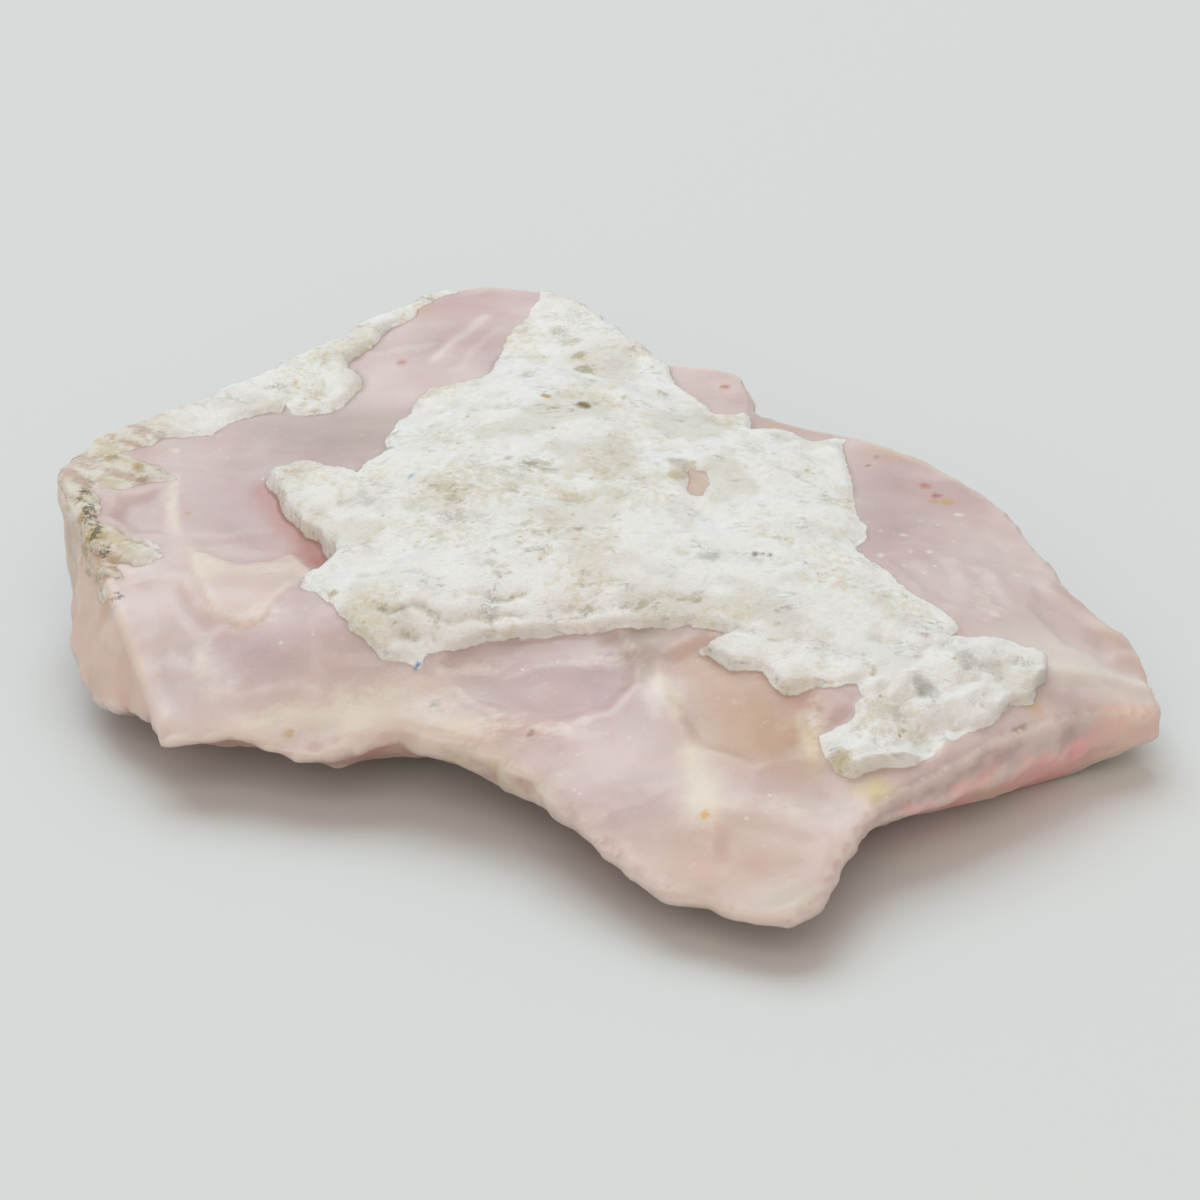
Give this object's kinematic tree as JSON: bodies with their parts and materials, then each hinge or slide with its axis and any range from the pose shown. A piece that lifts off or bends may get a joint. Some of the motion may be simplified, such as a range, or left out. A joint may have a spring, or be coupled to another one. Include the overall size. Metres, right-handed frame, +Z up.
{
  "type": "rough opal specimen",
  "caption": "Rough slab of pink common opal with a chalky white crust on top, as broken, lying on its flat underside.",
  "frame": {"origin": "middle of the stone's bounding box, at the level of the surface that it lies on", "axes": "+Z up, away from the surface it lies on; +X along the slab's longer diagonal, from the tall end to the thin end; +Y away from the thin front tongue"},
  "size_m": [0.0874, 0.0858, 0.0166],
  "materials": {
    "opal": "waxy pink opal, partly covered by a matt chalky white crust"
  },
  "bodies": {
    "root": {"opal_stone": "opal"}
  },
  "joints": []
}
